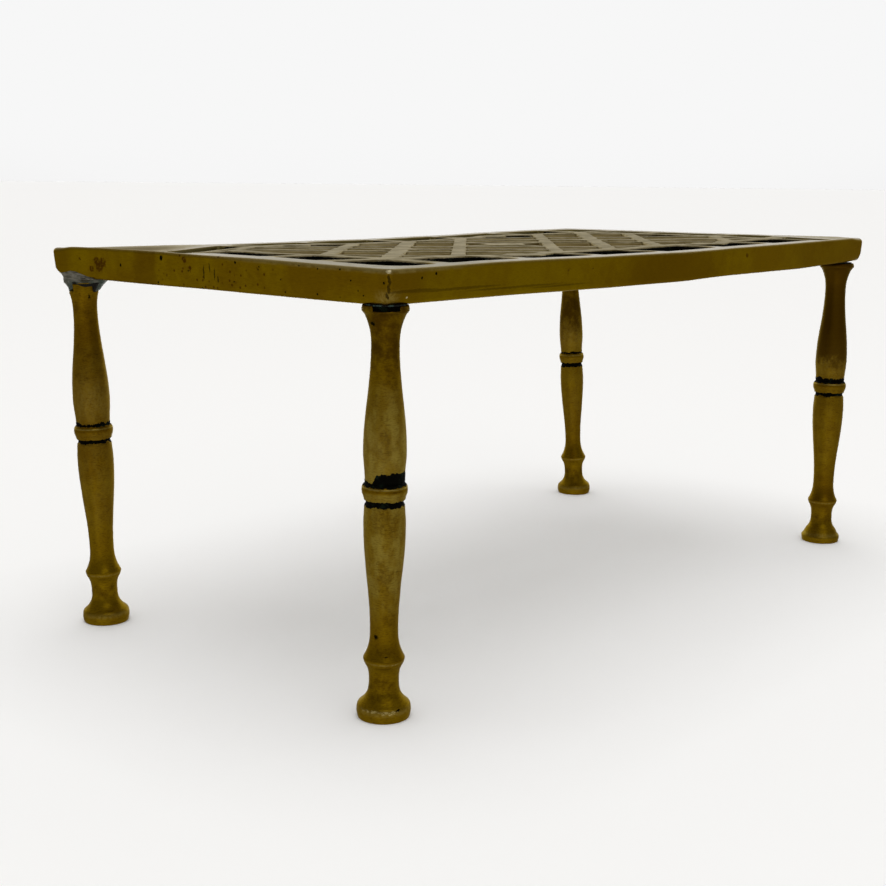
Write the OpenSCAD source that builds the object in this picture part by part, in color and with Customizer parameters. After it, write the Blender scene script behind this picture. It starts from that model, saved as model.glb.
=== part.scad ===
// Pierced brass table stand on four turned legs.
// Millimetres. +Z is up, the feet rest on Z = 0, and the origin is the middle of the footprint.
// X runs along the long side. Front is -Y, left is -X.

/* [Top] */
// Length of the top along X
top_l = 302; // [296:1:320]
// Width of the top along Y
top_w = 156; // [150:1:170]
// Depth of the rim that frames the top
rim_h = 9.4; // [8:0.1:14]
// Width of the rim along the two long sides, seen from above
rim_long = 7.5; // [6.5:0.5:9]
// Width of the rim along the two short sides, seen from above
rim_short = 10; // [8:0.5:12]
// Radius of the rim's four vertical corners
corner_r = 1.6; // [0.5:0.1:3]
// Radius of the hollow fillets in the rim's inner corners
fillet_r = 8; // [5:0.5:10]
// How far the top's middle sits from the middle of the footprint
top_shift = [-1.3, 0.2];

/* [Strapwork] */
// Thickness of the cast straps, flush with the rim's top face
strap_t = 4.6; // [3:0.1:6]
// Width of the straps that frame the pattern
frame_w = 6.4; // [5:0.1:8]
// Width of the long diagonals of each half
main_w = 6; // [4:0.1:7]
// Width of the other diagonals and of the ties to the rim
thin_w = 5; // [3:0.1:6]
// Radius of the round bosses where straps meet
boss_r = 6.5; // [4:0.1:8]

/* [Legs] */
// Height from the floor to the underside of the rim
leg_h = 122.6; // [110:0.1:140]
// Distance of each leg's axis from both outer faces of the rim
leg_inset = 7.6; // [7:0.1:9]
// How far the four legs together sit from the top's middle
legs_shift = [-0.3, 0.3];
// Radius of the collar under the top
collar_r = 6.8; // [6:0.1:7]
// Radius of the neck under the collar
neck_r = 4.05; // [3.5:0.05:5]
// Largest radius of the upper baluster
upper_r = 6.3; // [6:0.05:7]
// Largest radius of the ring between the balusters
ring_r = 6.7; // [6.4:0.1:7.5]
// Largest radius of the lower baluster
lower_r = 6.2; // [6.1:0.05:7]
// Radius of the lower baluster's waist
waist_r = 4.15; // [3.6:0.05:5]
// Radius of the sharp knop above the foot
knop_r = 6.25; // [5.5:0.05:7]
// Largest radius of the foot
foot_r = 8.1; // [7:0.1:9]

/* [Joints] */
// Radius of the spigot that enters the top
spigot_r = 2.7; // [2:0.1:3]
// Length of the spigot that enters the top
spigot_l = 5.8; // [4:0.1:6]
// Radius of the spigot that joins the two balusters
core_r = 2.4; // [2:0.1:3]
// How deep that spigot enters the upper baluster
core_l = 9; // [6:0.5:12]
// Radial clearance of each spigot in its hole
fit_gap = 0.05; // [0.02:0.01:0.1]
// Thickness of the solder bed between collar and top
bed_t = 0.35; // [0.35:0.05:1]

/* [Hidden] */

$fn = 64;
curve_steps = 10;

// Side of the leg along X, side along Y, lean of its foot in degrees along X and along Y.
// The stand is hand fitted, and no two legs lean alike.
front_left = [-1, -1, 0.9, 1.0];
front_right = [1, -1, -0.9, -0.3];
back_left = [-1, 1, 1.5, -1.1];
back_right = [1, 1, 1.5, -2.0];

// Heights along a leg, measured down from the collar's top face
collar_z = 1.9;
neck_z = 12.2;
upper_z = 42;
ring_top_z = 51.2;
ring_low_z = 56.4;
lower_z = 64;
waist_z = 95.4;
knop_z = 104.3;
knop_band = 0.9;
ankle_z = 111;
foot_top_z = 118.2;
ankle_r = 4.45;
joint_r = 5.75;
collar_sweep = 2.5;
knop_sweep = 2.6;
foot_sweep = 3.2;

// Half sizes of the frame inside the rim, and the slope of the diagonals
frame_x = top_l / 2 - 31.5;
frame_y = top_w / 2 - 29;
slope = 2 * frame_y / frame_x;
half_run = frame_x / 2;
offset_x = 32.5;

// The frame bows out towards the rim on each half of a long side, and at the middle of a short side.
// Ties hold it to the rim at the ends of each bow.
bow = [60, top_w / 2 - 20];
bow_half = 20;
knee = 1;
side_bow = 6;
side_tie_y = 19.5;
side_run = 4;
corner_drop = 7;
bow_boss_in = 4;
centre_boss_r = boss_r + 1.5;
wide_tie_w = thin_w + 1;
inner_tie_w = thin_w - 1;

// How far cutters and fused ends run past the face they meet
over = 1;
// The pad's edge outside the collar, and the bed's edge inside it
pad_lip = 0.7;
bed_recess = 0.8;

brass = "#5f4c06";
brass_dark = "#4c3a05";
brass_top = "#8d8876";
solder_grey = "#585852";

// ---- outline helpers: points are [radius, depth] ----

// Smooth S between two radii
function s_curve(a, b) = [for (i = [1 : curve_steps]) let (t = i / curve_steps)
    [a.x + (b.x - a.x) * (1 - cos(180 * t)) / 2, a.y + (b.y - a.y) * t]];

// Hollow flare that leaves a steeply and lies flat at b
function flare(a, b, p) = [for (i = [1 : curve_steps]) let (t = i / curve_steps)
    [b.x + (a.x - b.x) * pow(1 - t, p), a.y + (b.y - a.y) * t]];

// The same flare, flat at a and steep at b
function flare_out(a, b, p) = [for (i = [1 : curve_steps]) let (t = i / curve_steps)
    [a.x + (b.x - a.x) * pow(t, p), a.y + (b.y - a.y) * t]];

module turned(outline, z_from, z_to) {
    rotate_extrude()
        polygon([for (q = concat([[0, z_from]], outline, [[0, z_to]])) [q.x, -q.y]]);
}

// ---- places ----

// Puts its children in a leg's own frame: origin on the underside of the top, -Z down the leg
module at_leg(leg) {
    translate([
        top_shift.x + legs_shift.x + leg[0] * (top_l / 2 - leg_inset),
        top_shift.y + legs_shift.y + leg[1] * (top_w / 2 - leg_inset),
        leg_h
    ])
        rotate([leg[3], -leg[2], 0])
            children();
}

module four_ways() {
    for (sx = [-1, 1])
        for (sy = [-1, 1])
            scale([sx, sy])
                children();
}

// ---- the pierced top ----

module strap(a, b, w) {
    run = b - a;
    translate(a)
        rotate(atan2(run.y, run.x)) {
            translate([0, -w / 2])
                square([norm(run), w]);
            circle(d = w);
            translate([norm(run), 0])
                circle(d = w);
        }
}

module outline() {
    x = top_l / 2 - corner_r;
    y = top_w / 2 - corner_r;
    square([2 * x, top_w], center = true);
    square([top_l, 2 * y], center = true);
    for (sx = [-1, 1])
        for (sy = [-1, 1])
            translate([sx * x, sy * y])
                circle(r = corner_r);
}

// The wavy inner frame and the short ties that hold it to the rim
module frame_straps() {
    rim_x = top_l / 2 - rim_short / 2;
    rim_y = top_w / 2 - rim_long / 2;
    corner = [frame_x, frame_y];
    outer_knee = [bow.x + bow_half, frame_y + knee];
    inner_knee = [bow.x - bow_half, frame_y + knee];
    side_knee = [frame_x + knee, side_tie_y + side_run];
    four_ways() {
        strap([rim_x, frame_y - corner_drop], corner, frame_w);
        strap([frame_x, rim_y], corner, frame_w);
        strap(corner, outer_knee, frame_w);
        strap(outer_knee, bow, frame_w);
        strap(bow, inner_knee, frame_w);
        strap(inner_knee, [0, frame_y], frame_w);
        strap(corner, side_knee, frame_w);
        strap(side_knee, [frame_x + side_bow, 0], frame_w);
        strap([rim_x, side_tie_y], [frame_x + knee, side_tie_y], thin_w);
        strap([outer_knee.x, rim_y], outer_knee, wide_tie_w);
        strap([inner_knee.x, rim_y], inner_knee, thin_w);
        strap([0, rim_y], [0, frame_y], thin_w);
    }
}

// One diagonal that crosses the middle line at x = c, cut off at the frame, and its three mirrors
module diagonals(c, w) {
    x0 = c - half_run;
    x1 = min(frame_x, c + half_run);
    four_ways()
        strap([x0, slope * (x0 - c)], [x1, slope * (x1 - c)], w);
}

module bosses() {
    reach = half_run - offset_x;
    circle(r = centre_boss_r);
    strap([-reach, 0], [reach, 0], inner_tie_w);
    strap([0, -slope * reach], [0, slope * reach], inner_tie_w);
    for (s = [-1, 1])
        translate([s * half_run, 0])
            circle(r = boss_r);
    four_ways()
        translate([bow.x, bow.y - bow_boss_in])
            circle(r = boss_r);
}

module strapwork() {
    frame_straps();
    diagonals(half_run, main_w);
    diagonals(half_run - offset_x, thin_w);
    diagonals(half_run + offset_x, thin_w);
    diagonals(frame_x + half_run - offset_x, thin_w);
    bosses();
}

// The rim seen from above, with a hollow fillet in each inner corner
module rim() {
    difference() {
        outline();
        square([top_l - 2 * rim_short, top_w - 2 * rim_long], center = true);
    }
    four_ways()
        translate([top_l / 2 - rim_short - fillet_r, top_w / 2 - rim_long - fillet_r])
            difference() {
                square(fillet_r + over / 2);
                circle(r = fillet_r);
            }
}

// Round pads under the corners, which carry the collars
module pads() {
    intersection() {
        outline();
        translate(legs_shift)
            four_ways()
                translate([top_l / 2 - leg_inset, top_w / 2 - leg_inset])
                    circle(r = collar_r + pad_lip);
    }
}

module pierced_top() {
    color(brass_top)
        difference() {
            translate([top_shift.x, top_shift.y, leg_h]) {
                linear_extrude(rim_h)
                    rim();
                linear_extrude(rim_h - strap_t)
                    pads();
                translate([0, 0, rim_h - strap_t])
                    linear_extrude(strap_t)
                        strapwork();
            }
            for (leg = [front_left, front_right, back_left, back_right])
                at_leg(leg)
                    translate([0, 0, -over])
                        cylinder(r = spigot_r + fit_gap, h = spigot_l + over + 0.2);
        }
}

// ---- the turned legs ----

module upper_baluster(leg) {
    collar = [collar_r, collar_z];
    neck = [neck_r, neck_z];
    belly = [upper_r, upper_z];
    end = [joint_r, ring_top_z];
    color(brass)
        at_leg(leg)
            difference() {
                union() {
                    turned(concat(
                        [[collar_r - 0.2, bed_t], collar],
                        flare([collar_r - 0.3, collar_z], neck, collar_sweep),
                        s_curve(neck, belly),
                        s_curve(belly, end)
                    ), bed_t, ring_top_z);
                    translate([0, 0, -bed_t - over])
                        cylinder(r = spigot_r, h = spigot_l + bed_t + over);
                }
                translate([0, 0, -ring_top_z - over])
                    cylinder(r = core_r + fit_gap, h = core_l + over + 0.3);
            }
}

module ring(leg) {
    color(brass_dark)
        at_leg(leg)
            difference() {
                turned([
                    [joint_r - 0.1, ring_top_z],
                    [ring_r - 0.25, ring_top_z + 1],
                    [ring_r - 0.1, ring_top_z + 1.4],
                    [ring_r, ring_top_z + 2.3],
                    [ring_r - 0.15, ring_top_z + 3.2],
                    [ring_r - 0.5, ring_top_z + 4.2],
                    [joint_r + 0.2, ring_low_z]
                ], ring_top_z, ring_low_z);
                translate([0, 0, -ring_low_z - over])
                    cylinder(r = core_r + fit_gap, h = ring_low_z - ring_top_z + 2 * over);
            }
}

module lower_baluster(leg) {
    groove_z = ring_low_z + 1;
    belly = [lower_r, lower_z];
    waist = [waist_r, waist_z];
    knop = [knop_r, knop_z];
    ankle = [ankle_r, ankle_z];
    foot = [foot_r - 0.5, foot_top_z];
    // The base runs a little past the floor and is cut flat on it
    base_z = leg_h + 0.6;
    color(brass)
        difference() {
            at_leg(leg) {
                turned(concat(
                    [[joint_r - 0.3, ring_low_z], [joint_r - 0.3, groove_z]],
                    s_curve([joint_r + 0.15, groove_z], belly),
                    s_curve(belly, waist),
                    flare_out(waist, knop, knop_sweep),
                    flare([knop_r, knop_z + knop_band], ankle, knop_sweep),
                    flare_out(ankle, foot, foot_sweep),
                    [
                        [foot_r - 0.15, foot_top_z + 0.7],
                        [foot_r, foot_top_z + 1.7],
                        [foot_r, foot_top_z + 2.8],
                        [foot_r - 0.25, foot_top_z + 3.8],
                        [foot_r - 0.6, base_z]
                    ]
                ), ring_low_z, base_z);
                translate([0, 0, -ring_low_z - over])
                    cylinder(r = core_r, h = ring_low_z - ring_top_z + core_l + over);
            }
            translate([-top_l, -top_l, -5])
                cube([2 * top_l, 2 * top_l, 5]);
        }
}

// ---- solder ----

// Everything at and above the underside of the top
module above_underside() {
    translate([-top_l, -top_l, leg_h])
        cube([2 * top_l, 2 * top_l, 20]);
}

module bed_ring(leg, r) {
    at_leg(leg)
        difference() {
            translate([0, 0, -bed_t])
                cylinder(r = r, h = 2 * bed_t);
            translate([0, 0, -bed_t - over])
                cylinder(r = spigot_r + fit_gap, h = 2 * (bed_t + over));
        }
}

module solder_bed(leg) {
    color(solder_grey)
        difference() {
            bed_ring(leg, collar_r - bed_recess);
            above_underside();
        }
}

// A later repair: the bed, and a ragged skirt of solder around the outside of the collar
module solder_repair(leg) {
    skirt = [
        [collar_r + 2.2, -bed_t],
        [collar_r + 1.9, 0.3],
        [collar_r + 0.9, 1.7],
        [collar_r - 0.2, 3],
        [collar_r - 1.1, 4],
        [neck_r + 1.0, 5.4]
    ];
    color(solder_grey)
        difference() {
            union() {
                bed_ring(leg, collar_r + 1);
                at_leg(leg)
                    difference() {
                        turned(skirt, -bed_t, 5.4);
                        turned(concat(
                            [[collar_r - 0.2, -1], [collar_r - 0.2, bed_t], [collar_r, collar_z]],
                            flare([collar_r - 0.3, collar_z], [neck_r, neck_z], collar_sweep)
                        ), -1, neck_z);
                    }
            }
            above_underside();
        }
}

pierced_top();
upper_baluster(front_left);  // upper_baluster_front_left
upper_baluster(front_right);  // upper_baluster_front_right
upper_baluster(back_left);  // upper_baluster_back_left
upper_baluster(back_right);  // upper_baluster_back_right
ring(front_left);  // ring_front_left
ring(front_right);  // ring_front_right
ring(back_left);  // ring_back_left
ring(back_right);  // ring_back_right
lower_baluster(front_left);  // lower_baluster_front_left
lower_baluster(front_right);  // lower_baluster_front_right
lower_baluster(back_left);  // lower_baluster_back_left
lower_baluster(back_right);  // lower_baluster_back_right
solder_bed(front_left);  // solder_bed_front_left
solder_bed(front_right);  // solder_bed_front_right
solder_bed(back_right);  // solder_bed_back_right
solder_repair(back_left);  // solder_repair_back_left
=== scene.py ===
import itertools
import math

import bmesh
import bpy
import numpy as np
from mathutils import Matrix, Vector
from mathutils.bvhtree import BVHTree


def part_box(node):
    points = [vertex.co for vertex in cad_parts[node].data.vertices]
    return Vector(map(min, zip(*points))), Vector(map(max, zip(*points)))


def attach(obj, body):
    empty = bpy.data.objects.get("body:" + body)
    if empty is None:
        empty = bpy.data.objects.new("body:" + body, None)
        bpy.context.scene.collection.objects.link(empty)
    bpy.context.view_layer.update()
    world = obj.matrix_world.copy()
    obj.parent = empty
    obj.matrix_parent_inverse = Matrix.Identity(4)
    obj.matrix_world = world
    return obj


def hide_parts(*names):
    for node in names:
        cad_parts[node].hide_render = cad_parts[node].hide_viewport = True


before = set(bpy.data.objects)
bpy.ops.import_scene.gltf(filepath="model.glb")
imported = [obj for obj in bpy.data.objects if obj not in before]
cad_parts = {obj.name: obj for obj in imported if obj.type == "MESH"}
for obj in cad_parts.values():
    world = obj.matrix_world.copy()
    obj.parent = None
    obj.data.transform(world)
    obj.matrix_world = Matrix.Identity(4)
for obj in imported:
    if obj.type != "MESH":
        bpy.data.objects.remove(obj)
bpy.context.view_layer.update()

MM = 0.001
CORNERS = ("front_left", "front_right", "back_left", "back_right")
ROOT = "root"

TOP_LOW, TOP_HIGH = (np.array(corner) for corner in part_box("pierced_top"))
UNDERSIDE = TOP_LOW[2]


# ---- numbers: noise and soft steps ----

def lattice(cell, seed):
    """One steady pseudo-random number from 0 to 1 for each whole-numbered cell."""
    mixed = cell[:, 0] * 374761393 + cell[:, 1] * 668265263 + cell[:, 2] * 1442695041 + seed * 1274126177
    mixed = (mixed ^ (mixed >> 13)) * 1274126177
    mixed = mixed ^ (mixed >> 16)
    return (mixed & 0xFFFFFF) / 0xFFFFFF


def lumps(points, size, seed):
    """Smooth noise from -1 to 1 whose lumps are about size across."""
    scaled = points / size + 1000
    cell = np.floor(scaled).astype(np.int64)
    part = scaled - cell
    part = part * part * (3 - 2 * part)
    total = np.zeros(len(points))
    for corner in itertools.product((0, 1), repeat=3):
        weight = np.where(corner, part, 1 - part).prod(axis=1)
        total += weight * lattice(cell + np.array(corner), seed)
    return 2 * total - 1


def soft_step(value, low, high):
    """0 below low, 1 above high, and smooth between them. Low may be above high."""
    share = np.clip((value - low) / (high - low), 0, 1)
    return share * share * (3 - 2 * share)


def soft_band(value, middle, half_width):
    """1 at the middle, falling smoothly to 0 at half_width from it."""
    return 1 - soft_step(abs(value - middle), 0, half_width)


# ---- meshes ----

def cad_points(node):
    """The different vertices of a CAD node's mesh."""
    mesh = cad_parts[node].data
    flat = np.zeros(3 * len(mesh.vertices))
    mesh.vertices.foreach_get("co", flat)
    return np.unique(flat.reshape(-1, 3).round(7), axis=0)


def make_piece(name, points, faces, fields, material, replaced):
    """A smooth-shaded mesh object that stands for CAD nodes, with its painted fields as attributes."""
    mesh = bpy.data.meshes.new(name)
    mesh.from_pydata(points.tolist(), [], faces)
    finish_mesh(mesh, fields)
    return add_piece(name, mesh, material, replaced)


def move_points(mesh, points):
    mesh.vertices.foreach_set("co", points.ravel())
    mesh.update()


def finish_mesh(mesh, fields):
    for label, values in fields.items():
        attribute = mesh.attributes.new(label, "FLOAT", "POINT")
        attribute.data.foreach_set("value", values.astype(np.float32))
    mesh.shade_smooth()
    mesh.validate()


def add_object(name, data):
    made = bpy.data.objects.new(name, data)
    bpy.context.scene.collection.objects.link(made)
    return made


def add_piece(name, mesh, material, replaced):
    piece = add_object(name, mesh)
    mesh.materials.clear()
    mesh.materials.append(material)
    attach(piece, ROOT)
    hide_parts(*replaced)
    return piece


# ---- the legs' own frames ----

# Reading an outline off the CAD: what lies inside this radius is a hidden spigot, to how many millimetres
# the points are rounded, which count as level with each other, and how close two steps may be
SPIGOT_RADIUS = 3.4 * MM
ROUNDING = 0.02
SAME_LEVEL = 0.05 * MM
SHORTEST_STEP = 0.08 * MM


class Leg:
    """A leg's axis, read off its upper baluster. Depth runs down the axis from the underside of the top."""

    def __init__(self, corner):
        self.corner = corner
        points = cad_points("upper_baluster_" + corner)
        down = np.array([0.0, 0.0, -1.0])
        # Each round finds the leg's two end discs more exactly
        for window in (0.6 * MM, 0.2 * MM, 0.1 * MM):
            along = points @ down
            discs = [points[abs(along - level) < window] for level in (along.min(), along.max())]
            ends = [(disc.min(axis=0) + disc.max(axis=0)) / 2 for disc in discs]
            down = (ends[1] - ends[0]) / np.linalg.norm(ends[1] - ends[0])
        self.down = down
        self.origin = ends[0] + self.down * (ends[0][2] - UNDERSIDE) / -self.down[2]
        out = np.sign([self.origin[0], self.origin[1], 0])
        out -= self.down * (out @ self.down)
        self.out = out / np.linalg.norm(out)
        self.side = np.cross(self.out, self.down)
        self.seed = 10 * CORNERS.index(corner)

    def place(self, radius, turn, depth):
        """Points at those radii, turns from the outward diagonal and depths."""
        across = np.cos(turn)[:, None] * self.out + np.sin(turn)[:, None] * self.side
        return self.origin + across * radius[:, None] + self.down * depth[:, None]

    def outline(self, node):
        """The outer skin of a turned node as (depth, radius) rows, from top to bottom."""
        points = cad_points(node) - self.origin
        depth = points @ self.down
        radius = np.linalg.norm(points - np.outer(depth, self.down), axis=1)
        above_floor = cad_points(node)[:, 2] > 0.1 * MM
        skin = np.stack([depth, radius], axis=1)[(radius > SPIGOT_RADIUS) & above_floor]
        rows = list(np.unique((skin / (ROUNDING * MM)).round(), axis=0) * ROUNDING * MM)
        ordered = [rows.pop(0)]
        while rows:
            level = [row for row in rows if abs(row[0] - rows[0][0]) < SAME_LEVEL]
            nearest = min(level, key=lambda row: abs(row[1] - ordered[-1][1]))
            index = next(i for i, row in enumerate(rows) if row is nearest)
            rows.pop(index)
            if np.linalg.norm(nearest - ordered[-1]) > SHORTEST_STEP:
                ordered.append(nearest)
        return np.array(ordered)


LEGS = {corner: Leg(corner) for corner in CORNERS}


# ---- turned pieces ----

def smooth_run(points, spacing):
    """A smooth curve through points, split where the outline has a corner."""
    steps = np.diff(points, axis=0)
    headings = np.arctan2(steps[:, 1], steps[:, 0])
    bends = abs((np.diff(headings) + math.pi) % (2 * math.pi) - math.pi)
    splits = [0] + [i + 1 for i, bend in enumerate(bends) if bend > math.radians(17)] + [len(points) - 1]
    made = []
    for first, last in zip(splits, splits[1:]):
        run = points[first:last + 1]
        padded = np.vstack([2 * run[0] - run[1], run, 2 * run[-1] - run[-2]])
        for i in range(1, len(run)):
            p0, p1, p2, p3 = padded[i - 1:i + 3]
            count = max(1, round(np.linalg.norm(p2 - p1) / spacing))
            t = (np.arange(count) / count)[:, None]
            made.append(0.5 * (2 * p1 + (p2 - p0) * t + (2 * p0 - 5 * p1 + 4 * p2 - p3) * t ** 2
                               + (3 * p1 - p0 - 3 * p2 + p3) * t ** 3))
    made.append(points[-1:])
    return np.vstack(made)


def rounded(curve, spread):
    """The curve with its corners rounded over about spread rows."""
    reach = np.arange(-3 * spread, 3 * spread + 1)
    weights = np.exp(-reach ** 2 / (2 * spread ** 2))
    weights /= weights.sum()
    padded = np.pad(curve, ((3 * spread, 3 * spread), (0, 0)), mode="edge")
    made = np.stack([np.convolve(padded[:, k], weights, "valid") for k in (0, 1)], axis=1)
    made[0], made[-1] = curve[0], curve[-1]
    return made


def skin_faces(rows, around):
    """Faces over rings of points, row by row from the top, closed by one more point at each end."""
    faces = []
    for row in range(rows - 1):
        upper, lower = row * around, (row + 1) * around
        for i in range(around):
            j = (i + 1) % around
            faces.append((upper + i, upper + j, lower + j, lower + i))
    last, top_pole, low_pole = (rows - 1) * around, rows * around, rows * around + 1
    for i in range(around):
        j = (i + 1) % around
        faces += [(j, i, top_pole), (last + i, last + j, low_pole)]
    return faces


# How far a foot's outline runs on past its lowest CAD points, before it is cut off level with the floor
FOOT_OVERRUN = 1.6 * MM


def turned_piece(leg, node, name, material, shape, around=104, spacing=0.33 * MM):
    """A turned piece made afresh over its CAD outline. Shape takes each point's radius, turn and depth, and
    gives the new radius and the painted fields."""
    outline = leg.outline(node)
    if node.startswith("lower"):
        step = outline[-1] - outline[-2]
        outline = np.vstack([outline, outline[-1] + step * (FOOT_OVERRUN / step[0])])
    first, last = outline[0], outline[-1]
    outline = np.vstack([[first[0], 0], outline, [last[0], 0]])
    fine = smooth_run(outline, spacing / 3)
    fine = rounded(fine, 2)[::3]
    fine[-1] = outline[-1]
    inner = fine[1:-1]
    turns = np.arange(around) / around * 2 * math.pi
    radius = np.repeat(inner[:, 1], around)
    depth = np.repeat(inner[:, 0], around)
    turn = np.tile(turns, len(inner))
    radius, fields = shape(leg, radius, turn, depth)
    points = leg.place(radius, turn, depth)
    poles = leg.place(np.zeros(2), np.zeros(2), np.array([fine[0, 0], fine[-1, 0]]))
    points = np.vstack([points, poles])
    below = points[:, 2] < 0
    points[below] += leg.down * (points[below, 2] / -leg.down[2])[:, None]
    fields = {label: np.append(values, (values[0], values[-1])) for label, values in fields.items()}
    faces = skin_faces(len(inner), around)
    return make_piece(name, points, faces, fields, material, [node])


def wobble(leg, turn, depth, radius):
    """Hand finishing: slow flats and dents that keep the outline, in metres."""
    points = leg.place(radius, turn, depth)
    return 0.05 * MM * lumps(points, 7 * MM, leg.seed) + 0.006 * MM * lumps(points, 1.6 * MM, leg.seed + 1)


def turned_away(turn, middle):
    """How far a turn lies from another, in radians and never over half a turn."""
    return abs((turn - middle + math.pi) % (2 * math.pi) - math.pi)


def within(turn, middle, edge, core):
    """1 within core degrees of a turn, falling smoothly to 0 at edge degrees from it."""
    return soft_step(turned_away(turn, math.radians(middle)), math.radians(edge), math.radians(core))


def residue(leg, turn, distance, reach, rag, seed):
    """A field over 0.5 where residue covers the skin, as far as reach from a joint, with a ragged edge."""
    ring = np.stack([np.cos(turn), np.sin(turn), np.zeros(len(turn))], axis=1) * 6 * MM
    ragged = 0.6 * lumps(ring, 2.6 * MM, leg.seed + seed) + 0.4 * lumps(ring, 0.8 * MM, leg.seed + seed + 1)
    edge = reach + rag * ragged
    return 0.5 + (edge - distance) / (2.2 * MM)


# Where each ring begins and ends, down its leg
RING_TOP, RING_LOW = {}, {}
for leg in LEGS.values():
    rows = leg.outline("ring_" + leg.corner)
    RING_TOP[leg.corner], RING_LOW[leg.corner] = rows[0][0], rows[-1][0]


def by_leg(*values):
    """One value for each leg, in the order of CORNERS."""
    return dict(zip(CORNERS, values))


# How much thicker than drawn each hand-turned leg is, and how dark the tarnish is on its belly and its neck
GIRTH = by_leg(1.0, 1.04, 1.0, 0.91)
DULLED = by_leg(0.0, 1.0, 0.25, 0.55)
DULLED_NECK = by_leg(0.45, 0.9, 0.2, 0.4)

# How much of a leg a pale film of old polish covers
HAZE = by_leg(1.0, 0.15, 0.25, 0.2)

# How far joint residue reaches above the ring, and below it, on each leg
RESIDUE_ABOVE = by_leg(2.7 * MM, 1.5 * MM, 0.8 * MM, 0.6 * MM)
RESIDUE_BELOW = by_leg(1.7 * MM, 1.4 * MM, 1.3 * MM, 1.8 * MM)


def girth(leg, depth):
    """How much thicker than drawn the leg is, down to its knop."""
    return 1 + (GIRTH[leg.corner] - 1) * soft_step(depth, 106 * MM, 96 * MM)


def upper_shape(leg, radius, turn, depth):
    ring_top = RING_TOP[leg.corner]
    above = RESIDUE_ABOVE[leg.corner]
    if leg.corner == "front_left":
        # This joint's black creeps up everywhere but on the left
        signed = (turn + math.pi) % (2 * math.pi) - math.pi
        on_the_left = soft_step(signed, math.radians(-24), math.radians(-40)) * (signed > -2)
        above = above + 0.4 * MM - 2.6 * MM * on_the_left
    grime = residue(leg, turn, ring_top - depth, above, 0.75 * MM, 3)
    lip_dirt = residue(leg, turn, depth, 0.2 * MM, 0.25 * MM, 5)
    grime = np.maximum(grime, lip_dirt)
    radius = radius + wobble(leg, turn, depth, radius)
    wear = 0.2 * soft_band(depth, 1.9 * MM, 0.5 * MM) + 0.3 * soft_band(depth, 42 * MM, 12 * MM)
    if leg.corner == "front_left":
        # The collar's upper edge is broken away on the outward side
        gap = within(turn, 0, 43, 37) * soft_step(depth, 1.9 * MM, 1.7 * MM)
        radius = radius - 1.5 * MM * gap
        grime = np.maximum(grime, 0.95 * gap)
    if leg.corner == "front_right":
        # So is part of this one's, but less
        gap = within(turn, 55, 62, 40) * soft_step(depth, 0.9 * MM, 0.6 * MM)
        radius = radius - 1.2 * MM * gap
        grime = np.maximum(grime, 0.95 * gap)
    if leg.corner == "back_left":
        # Inside the solder fillet, but bare where the solder stops short
        bare = within(turn, 98, 44, 36)
        radius = radius - 1.5 * MM * soft_step(depth + 2.6 * MM * bare, 5.4 * MM, 4.0 * MM)
    radius = radius + 0.10 * MM * soft_step(grime, 0.45, 0.7) * soft_step(depth, 10 * MM, 12 * MM)
    neck = DULLED_NECK[leg.corner] * soft_step(depth, 26 * MM, 14 * MM)
    dull = np.maximum(DULLED[leg.corner] * soft_band(depth, 29 * MM, 24 * MM), neck)
    haze = HAZE[leg.corner] * soft_step(depth, 18 * MM, 32 * MM)
    return radius * girth(leg, depth), {"grime": grime, "wear": wear, "dull": dull, "haze": haze}


def ring_shape(leg, radius, turn, depth):
    from_top = depth - RING_TOP[leg.corner]
    from_low = RING_LOW[leg.corner] - depth
    above = (0.9 if leg.corner.startswith("front") else 0.45) * MM
    grime = np.maximum(
        residue(leg, turn, from_top, above, 0.08 * MM, 3),
        residue(leg, turn, from_low, 0.2 * MM, 0.2 * MM, 5),
    )
    lip = 2.5 * soft_band(from_top, 1.22 * MM, 0.3 * MM)
    groove = 0.4 * soft_band(from_top, 1.9 * MM, 0.4 * MM) * soft_step(np.cos(turn - 0.1), 0.5, 0.9)
    radius = radius + 0.5 * wobble(leg, turn, depth, radius)
    haze = 0.9 * HAZE[leg.corner] * soft_step(from_top, 2 * MM, 3 * MM)
    return radius * girth(leg, depth), {"grime": grime, "wear": lip, "dull": groove, "haze": haze}


def lower_shape(leg, radius, turn, depth):
    grime = residue(leg, turn, depth - RING_LOW[leg.corner], RESIDUE_BELOW[leg.corner], 0.6 * MM, 7)
    radius = radius + wobble(leg, turn, depth, radius)
    knop_edge = 0.8 * soft_band(depth, 105.0 * MM, 0.5 * MM)
    foot_edge = 0.6 * soft_band(depth, 119.3 * MM, 1.4 * MM)
    hollows = soft_band(depth, 112 * MM, 6 * MM)
    haze = HAZE[leg.corner] * soft_step(depth, 98 * MM, 78 * MM)
    if leg.corner == "front_right":
        # This foot slopes out without a square shoulder
        radius = radius - 0.8 * MM * soft_band(depth, 118.6 * MM, 1.8 * MM)
    fields = {"grime": grime, "wear": np.maximum(knop_edge, foot_edge), "dull": 0.35 * hollows, "haze": haze}
    return radius * girth(leg, depth), fields


# ---- the pierced top ----

def edge_pairs(mesh):
    """The two vertices of every edge."""
    pairs = np.zeros(2 * len(mesh.edges), np.int64)
    mesh.edges.foreach_get("vertices", pairs)
    return pairs.reshape(-1, 2)


def relaxed(points, pairs, rounds, strength):
    """Moves every point towards the middle of its neighbours, which rounds edges."""
    both = np.vstack([pairs, pairs[:, ::-1]])
    count = np.bincount(both[:, 0], minlength=len(points))[:, None]
    for _ in range(rounds):
        total = [np.bincount(both[:, 0], points[both[:, 1], k], len(points)) for k in range(3)]
        points = points + strength * (np.stack(total, axis=1) / count - points)
    return points


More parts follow.
